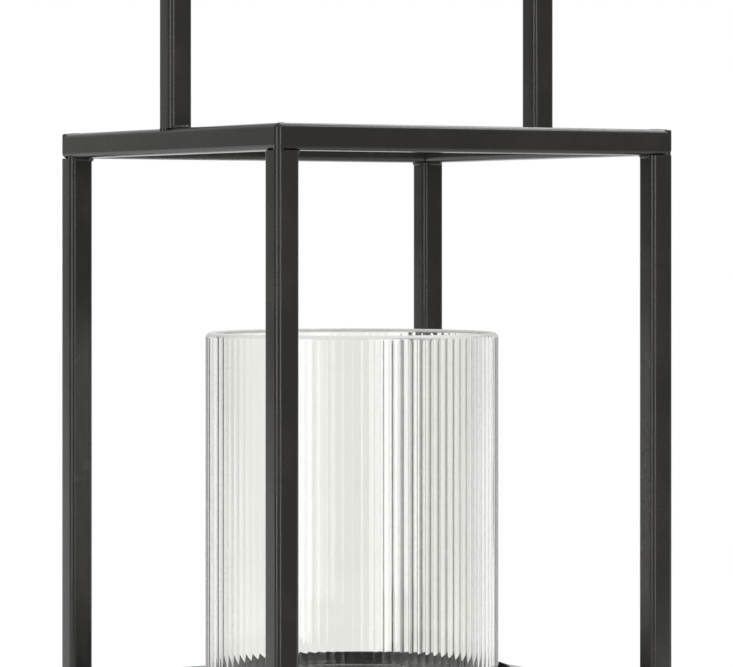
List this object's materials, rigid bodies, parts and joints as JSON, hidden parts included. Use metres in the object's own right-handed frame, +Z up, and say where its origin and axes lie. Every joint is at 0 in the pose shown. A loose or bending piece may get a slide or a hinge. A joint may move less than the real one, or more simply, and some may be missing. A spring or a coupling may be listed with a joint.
{
  "type": "candle lantern",
  "caption": "Open square-tube lantern with a fixed loop handle, a round candle dish and a loose fluted glass cylinder that lifts out.",
  "frame": {"origin": "centre of the lantern's footprint, on the surface it stands on", "axes": "+Z up, front faces -Y, +X to the right seen from the front; the handle runs along X"},
  "size_m": [0.23, 0.23, 0.494],
  "materials": {
    "black_powder_coat": "fine-textured satin black powder coat on welded mild steel square tube",
    "dish_paint": "satin black powder coat on pressed steel sheet",
    "fluted_glass": "clear soda-lime glass, fluted outside, smooth bore, fire-polished rims",
    "pad_rubber": "black rubber pad"
  },
  "bodies": {
    "frame": {"base_rail_front": "black_powder_coat", "base_rail_right": "black_powder_coat", "base_rail_back": "black_powder_coat", "base_rail_left": "black_powder_coat", "post_front_left": "black_powder_coat", "post_front_right": "black_powder_coat", "post_back_left": "black_powder_coat", "post_back_right": "black_powder_coat", "top_rail_front": "black_powder_coat", "top_rail_right": "black_powder_coat", "top_rail_back": "black_powder_coat", "top_rail_left": "black_powder_coat", "handle_bar": "black_powder_coat", "handle_leg_left": "black_powder_coat", "handle_leg_right": "black_powder_coat", "dish_bearer_front": "black_powder_coat", "dish_bearer_back": "black_powder_coat", "candle_dish": "dish_paint", "foot_pad_front_left": "pad_rubber", "foot_pad_front_right": "pad_rubber", "foot_pad_back_left": "pad_rubber", "foot_pad_back_right": "pad_rubber"},
    "glass": {"glass_cylinder": "fluted_glass"}
  },
  "joints": [
    {"name": "glass_lift", "type": "slide", "parent": "frame", "child": "glass", "axis": [0, 0, 1], "range_m": [0, 0.284]}
  ]
}
